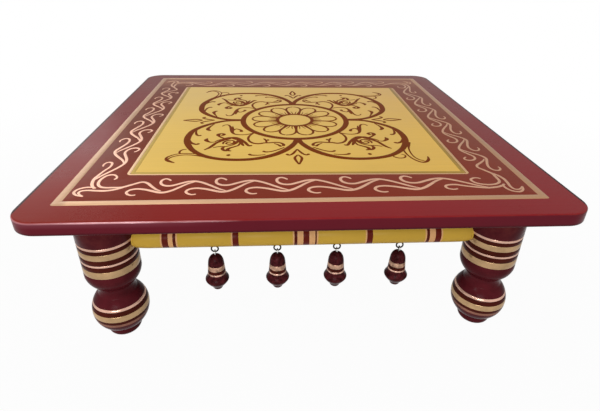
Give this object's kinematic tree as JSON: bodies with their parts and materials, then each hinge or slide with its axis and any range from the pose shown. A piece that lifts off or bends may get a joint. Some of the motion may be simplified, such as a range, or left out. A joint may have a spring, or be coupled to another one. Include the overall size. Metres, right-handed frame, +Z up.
{
  "type": "bajot low table",
  "caption": "Low square lacquered table on turned ball-foot legs, joined by turned rails hung with small wooden bells.",
  "frame": {"origin": "on the floor under the middle of the board", "axes": "+Z up, front rail towards -Y, +X to the right seen from the front"},
  "size_m": [0.618, 0.612, 0.2054],
  "materials": {
    "board_lacquer": "maroon gloss lacquer with painted gold lines, a gold scroll border and a yellow panel",
    "leg_lacquer": "dark maroon gloss lacquer with gold turned bands",
    "rail_lacquer": "yellow gloss lacquer with dark red and cream bands",
    "bell_lacquer": "dark maroon gloss lacquer with gold bands",
    "eye_steel": "dull bent steel wire"
  },
  "bodies": {
    "table": {"board": "board_lacquer", "leg_front_left": "leg_lacquer", "leg_front_right": "leg_lacquer", "leg_back_right": "leg_lacquer", "leg_back_left": "leg_lacquer", "rail_front": "rail_lacquer", "rail_right": "rail_lacquer", "rail_back": "rail_lacquer", "rail_left": "rail_lacquer", "rail_eye_front_1": "eye_steel", "rail_eye_front_2": "eye_steel", "rail_eye_front_3": "eye_steel", "rail_eye_front_4": "eye_steel", "rail_eye_right_1": "eye_steel", "rail_eye_right_2": "eye_steel", "rail_eye_right_3": "eye_steel", "rail_eye_right_4": "eye_steel", "rail_eye_back_1": "eye_steel", "rail_eye_back_2": "eye_steel", "rail_eye_back_3": "eye_steel", "rail_eye_back_4": "eye_steel", "rail_eye_left_1": "eye_steel", "rail_eye_left_2": "eye_steel", "rail_eye_left_3": "eye_steel", "rail_eye_left_4": "eye_steel"},
    "front_bell_1": {"bell_front_1": "bell_lacquer", "bell_eye_front_1": "eye_steel"},
    "front_bell_2": {"bell_front_2": "bell_lacquer", "bell_eye_front_2": "eye_steel"},
    "front_bell_3": {"bell_front_3": "bell_lacquer", "bell_eye_front_3": "eye_steel"},
    "front_bell_4": {"bell_front_4": "bell_lacquer", "bell_eye_front_4": "eye_steel"},
    "right_bell_1": {"bell_right_1": "bell_lacquer", "bell_eye_right_1": "eye_steel"},
    "right_bell_2": {"bell_right_2": "bell_lacquer", "bell_eye_right_2": "eye_steel"},
    "right_bell_3": {"bell_right_3": "bell_lacquer", "bell_eye_right_3": "eye_steel"},
    "right_bell_4": {"bell_right_4": "bell_lacquer", "bell_eye_right_4": "eye_steel"},
    "back_bell_1": {"bell_back_1": "bell_lacquer", "bell_eye_back_1": "eye_steel"},
    "back_bell_2": {"bell_back_2": "bell_lacquer", "bell_eye_back_2": "eye_steel"},
    "back_bell_3": {"bell_back_3": "bell_lacquer", "bell_eye_back_3": "eye_steel"},
    "back_bell_4": {"bell_back_4": "bell_lacquer", "bell_eye_back_4": "eye_steel"},
    "left_bell_1": {"bell_left_1": "bell_lacquer", "bell_eye_left_1": "eye_steel"},
    "left_bell_2": {"bell_left_2": "bell_lacquer", "bell_eye_left_2": "eye_steel"},
    "left_bell_3": {"bell_left_3": "bell_lacquer", "bell_eye_left_3": "eye_steel"},
    "left_bell_4": {"bell_left_4": "bell_lacquer", "bell_eye_left_4": "eye_steel"}
  },
  "joints": [
    {"name": "front_bell_1_swing", "type": "hinge", "parent": "table", "child": "front_bell_1", "pos_m": [-0.11182, -0.2384, 0.1181], "axis": [1, 0, 0], "range_deg": [-90, 90]},
    {"name": "front_bell_2_swing", "type": "hinge", "parent": "table", "child": "front_bell_2", "pos_m": [-0.03482, -0.2384, 0.1181], "axis": [1, 0, 0], "range_deg": [-90, 90]},
    {"name": "front_bell_3_swing", "type": "hinge", "parent": "table", "child": "front_bell_3", "pos_m": [0.03973, -0.2384, 0.1181], "axis": [1, 0, 0], "range_deg": [-90, 90]},
    {"name": "front_bell_4_swing", "type": "hinge", "parent": "table", "child": "front_bell_4", "pos_m": [0.1196, -0.2384, 0.1181], "axis": [1, 0, 0], "range_deg": [-90, 90]},
    {"name": "right_bell_1_swing", "type": "hinge", "parent": "table", "child": "right_bell_1", "pos_m": [0.2384, -0.11182, 0.1181], "axis": [0, 1, 0], "range_deg": [-90, 90]},
    {"name": "right_bell_2_swing", "type": "hinge", "parent": "table", "child": "right_bell_2", "pos_m": [0.2384, -0.03482, 0.1181], "axis": [0, 1, 0], "range_deg": [-90, 90]},
    {"name": "right_bell_3_swing", "type": "hinge", "parent": "table", "child": "right_bell_3", "pos_m": [0.2384, 0.03973, 0.1181], "axis": [0, 1, 0], "range_deg": [-90, 90]},
    {"name": "right_bell_4_swing", "type": "hinge", "parent": "table", "child": "right_bell_4", "pos_m": [0.2384, 0.1196, 0.1181], "axis": [0, 1, 0], "range_deg": [-90, 90]},
    {"name": "back_bell_1_swing", "type": "hinge", "parent": "table", "child": "back_bell_1", "pos_m": [0.11182, 0.2384, 0.1181], "axis": [-1, 0, 0], "range_deg": [-90, 90]},
    {"name": "back_bell_2_swing", "type": "hinge", "parent": "table", "child": "back_bell_2", "pos_m": [0.03482, 0.2384, 0.1181], "axis": [-1, 0, 0], "range_deg": [-90, 90]},
    {"name": "back_bell_3_swing", "type": "hinge", "parent": "table", "child": "back_bell_3", "pos_m": [-0.03973, 0.2384, 0.1181], "axis": [-1, 0, 0], "range_deg": [-90, 90]},
    {"name": "back_bell_4_swing", "type": "hinge", "parent": "table", "child": "back_bell_4", "pos_m": [-0.1196, 0.2384, 0.1181], "axis": [-1, 0, 0], "range_deg": [-90, 90]},
    {"name": "left_bell_1_swing", "type": "hinge", "parent": "table", "child": "left_bell_1", "pos_m": [-0.2384, 0.11182, 0.1181], "axis": [0, -1, 0], "range_deg": [-90, 90]},
    {"name": "left_bell_2_swing", "type": "hinge", "parent": "table", "child": "left_bell_2", "pos_m": [-0.2384, 0.03482, 0.1181], "axis": [0, -1, 0], "range_deg": [-90, 90]},
    {"name": "left_bell_3_swing", "type": "hinge", "parent": "table", "child": "left_bell_3", "pos_m": [-0.2384, -0.03973, 0.1181], "axis": [0, -1, 0], "range_deg": [-90, 90]},
    {"name": "left_bell_4_swing", "type": "hinge", "parent": "table", "child": "left_bell_4", "pos_m": [-0.2384, -0.1196, 0.1181], "axis": [0, -1, 0], "range_deg": [-90, 90]}
  ]
}
